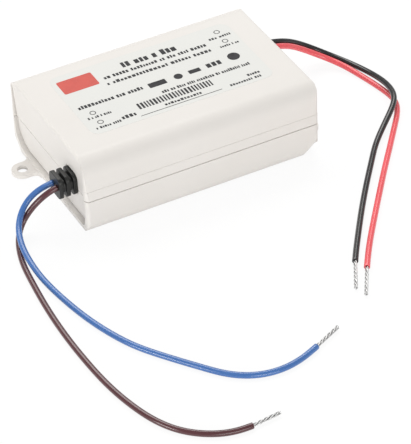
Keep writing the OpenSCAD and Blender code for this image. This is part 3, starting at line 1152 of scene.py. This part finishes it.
@dataclass
class Label:
    """Thin film on the top of the cover, with print that carries no words.

    Attributes:
        x0: Left edge, in millimetres.
        x1: Right edge.
        y0: Front edge.
        y1: Rear edge.
        corner: Corner radius.
        film: Thickness of the film.
        ink: Height of the print above the film.
    """

    x0: float = -32.4
    x1: float = 33.0
    y0: float = -15.8
    y1: float = 19.2
    corner: float = 3.2
    film: float = 0.05
    ink: float = 0.02
    ROWS = (
        Row(-7.7, 12.4, 12.9, 3.1, 9, gap=0.3),
        Row(-15.8, 21.7, 9.9, 1.6, 30),
        Row(-16.3, 21.8, 6.5, 1.6, 27),
        Row(-30.4, -7.1, -1.2, 1.8, 19),
        Row(-3.1, 29.5, -6.4, 1.5, 36),
        Row(-20.5, -15.2, -12.7, 1.9, 4, words=0.0),
        Row(-30.1, -21.8, -7.6, 1.2, 9),
        Row(-30.0, -20.5, -13.4, 1.2, 10),
        Row(24.9, 29.6, -12.0, 1.2, 5, words=0.0),
        Row(17.5, 29.0, -14.2, 1.2, 12),
        Row(23.6, 31.8, 12.0, 1.2, 8),
        Row(24.9, 31.9, 6.5, 1.2, 8),
        Row(-13.4, 13.6, -10.6, 3.2, 24, low=1.0, gap=0.7, words=0.0),
        Row(-5.4, 8.0, -12.9, 1.2, 12, words=0.0),
        Row(15.9, 21.6, -1.4, 2.3, 3, low=0.95, gap=0.3, words=0.0),
        Row(-14.8, 14.4, -14.1, 0.25, 1, low=1.0, gap=0.0, words=0.0),
    )
    RINGS = ((-27.3, -4.6), (-27.3, -10.2), (28.0, 15.4), (28.0, 9.5))
    DISCS = ((5.4, -0.6, 1.5), (26.2, 0.3, 2.1))
    BLOCKS = ((-2.2, -0.7, 3.1, 1.3), (11.4, -0.5, 2.1, 1.0))
    # Outer and inner radius of a ring, corner of a block, and the red field with its corner
    RING_RADII = (1.05, 0.78)
    BLOCK_CORNER = 0.3
    FIELD = (-24.4, 12.4, 6.2, 3.7, 0.6)

    def build(self) -> list[bpy.types.Object]:
        """Makes the film, the dark print and the red field.

        Returns:
            The three pieces.
        """
        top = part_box("upper_cover")[1].z / MM
        film = self._film(top)
        face = top + self.film + self.ink
        print_shape = bmesh.new()
        tree = PrintTree()
        for number, row in enumerate(self.ROWS):
            mesh = tree.mesh(
                f"row_{number}",
                {
                    "Length": (row.x1 - row.x0) * MM,
                    "Height": row.height * MM,
                    "Low Share": row.low,
                    "Blocks": row.blocks,
                    "Gap": row.gap,
                    "Word Chance": row.words,
                    "Seed": 3 * number + 2,
                    "Material": Palette.INK.material(),
                },
            )
            mesh.transform(Matrix.Translation((row.x0 * MM, row.y * MM, face * MM)))
            print_shape.from_mesh(mesh)
            bpy.data.meshes.remove(mesh)
        for x, y in self.RINGS:
            outlines = (self._circle(x, y, radius) for radius in self.RING_RADII)
            self._band(print_shape, *(self._points(print_shape, line, face) for line in outlines))
        for x, y, radius in self.DISCS:
            self._patch(print_shape, self._circle(x, y, radius), face)
        for block in self.BLOCKS:
            self._patch(print_shape, self._box(*block, self.BLOCK_CORNER), face)
        ink = self._piece("label_print", print_shape, Palette.INK)
        field_shape = bmesh.new()
        self._patch(field_shape, self._box(*self.FIELD), face)
        red = self._piece("label_field", field_shape, Palette.RED_INK)
        return [film, ink, red]

    def _film(self, top: float) -> bpy.types.Object:
        """Makes the film as a thin closed sheet.

        Args:
            top: Height of the cover's top, in millimetres.

        Returns:
            The film.
        """
        shape = bmesh.new()
        middle = ((self.x0 + self.x1) / 2, (self.y0 + self.y1) / 2)
        outline = self._box(*middle, (self.x1 - self.x0) / 2, (self.y1 - self.y0) / 2, self.corner)
        lower = self._points(shape, outline, top - self.film)
        upper = self._points(shape, outline, top + self.film)
        shape.faces.new(upper)
        shape.faces.new(list(reversed(lower)))
        self._band(shape, lower, upper)
        return self._piece("label_film", shape, Palette.FILM)

    @staticmethod
    def _circle(x: float, y: float, radius: float, count: int = 24) -> list[Flat]:
        """Points round a circle, in millimetres."""
        angles = [math.tau * i / count for i in range(count)]
        return [(x + radius * math.cos(t), y + radius * math.sin(t)) for t in angles]

    @staticmethod
    def _box(
        x: float, y: float, half_x: float, half_y: float, corner: float, count: int = 6
    ) -> list[Flat]:
        """Points round a rectangle with round corners.

        Args:
            x: Middle across.
            y: Middle along.
            half_x: Half its width.
            half_y: Half its height.
            corner: Corner radius.
            count: Steps in a corner.

        Returns:
            The outline, anticlockwise, in millimetres.
        """
        points = []
        for quarter, (sx, sy) in enumerate(((1, 1), (-1, 1), (-1, -1), (1, -1))):
            for i in range(count + 1):
                t = math.pi / 2 * (quarter + i / count)
                points.append(
                    (
                        x + sx * (half_x - corner) + corner * math.cos(t),
                        y + sy * (half_y - corner) + corner * math.sin(t),
                    )
                )
        return points

    @staticmethod
    def _points(
        shape: bmesh.types.BMesh, outline: Sequence[Flat], height: float
    ) -> list[bmesh.types.BMVert]:
        """Adds the points of a flat outline at a height, both in millimetres."""
        return [shape.verts.new(Vector((x, y, height)) * MM) for x, y in outline]

    def _patch(self, shape: bmesh.types.BMesh, outline: Sequence[Flat], height: float) -> None:
        """Adds an outline, anticlockwise, and fills it."""
        shape.faces.new(self._points(shape, outline, height))

    @staticmethod
    def _band(
        shape: bmesh.types.BMesh,
        first: Sequence[bmesh.types.BMVert],
        second: Sequence[bmesh.types.BMVert],
    ) -> None:
        """Adds the faces between two outlines with the same number of points.

        Args:
            shape: Mesh that gets the faces.
            first: Points of the first outline.
            second: Points of the second outline.
        """
        for i, point in enumerate(first):
            n = (i + 1) % len(first)
            shape.faces.new((point, first[n], second[n], second[i]))

    @staticmethod
    def _piece(name: str, shape: bmesh.types.BMesh, finish: Finish) -> bpy.types.Object:
        """Makes a piece of the label from its mesh.

        Args:
            name: Name of the piece.
            shape: Its mesh, freed here.
            finish: Its finish.

        Returns:
            The piece.
        """
        mesh = bpy.data.meshes.new(name)
        shape.to_mesh(mesh)
        shape.free()
        mesh.materials.clear()
        mesh.materials.append(finish.material())
        piece = link_object(name, mesh)
        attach(piece, BODY)
        return piece


class Interior:
    """Finishes of the solids that stay as they are, inside the case."""

    TAIL_ROUGHNESS = 0.33
    TAIL_CLOUD = 9 * MM
    FINISHES: dict[str, Finish] = {
        "circuit_board": Palette.BOARD,
        "fuse": Palette.FUSE,
        "varistor": Palette.DISC,
        "filter_capacitor": Palette.FILM_BOX,
        "line_choke_core": Palette.FERRITE,
        "line_choke_winding": Palette.COPPER,
        "bridge_rectifier": Palette.EPOXY,
        "bulk_capacitor": Palette.CAN,
        "heatsink": Palette.SINK,
        "switching_transistor": Palette.EPOXY,
        "transformer_core": Palette.FERRITE,
        "transformer_winding": Palette.TAPE,
        "output_diode": Palette.EPOXY,
        "output_capacitor_1": Palette.CAN,
        "output_capacitor_2": Palette.CAN,
        "optocoupler": Palette.PALE_EPOXY,
        "controller_chip": Palette.EPOXY,
    }

    def dress(self, nodes: dict[str, bpy.types.Object]) -> None:
        """Gives each solid its finish.

        Args:
            nodes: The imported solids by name.
        """
        finishes = dict(self.FINISHES)
        for colour in LeadColour:
            name, sleeve = colour.value + "_tail", colour.finish
            finishes[name] = Finish(
                name, sleeve.colour, sleeve.shade, self.TAIL_ROUGHNESS, cloud=self.TAIL_CLOUD
            )
        for name, finish in finishes.items():
            nodes[name].data.materials.clear()
            nodes[name].data.materials.append(finish.material())


def clear_scene() -> None:
    """Removes what Blender starts with."""
    for item in list(bpy.data.objects):
        bpy.data.objects.remove(item)


def main() -> None:
    """Builds the dressed part in order."""
    logging.basicConfig(level=logging.INFO, format="%(name)s: %(message)s")
    clear_scene()
    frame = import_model()
    nodes = frame["nodes"]
    PhotoCamera().place()
    for piece in LeadSet().build():
        LOG.info("lead piece %s, %d faces", piece.name, len(piece.data.polygons))
    for moulding in (
        Moulding("lower_case", "case_plastic", Palette.CASE, CASE_EDGE),
        Moulding("upper_cover", "case_plastic", Palette.CASE, CASE_EDGE),
        Moulding("input_bushing", "bushing_plastic", Palette.BUSHING, BUSHING_EDGE),
        Moulding("output_bushing", "bushing_plastic", Palette.BUSHING, BUSHING_EDGE),
    ):
        piece = moulding.build(nodes)
        LOG.info("moulding %s, %d faces", piece.name, len(piece.data.polygons))
    for piece in Label().build():
        LOG.info("label piece %s, %d faces", piece.name, len(piece.data.polygons))
    Interior().dress(nodes)
    Studio().build()


if __name__ == "__main__":
    main()
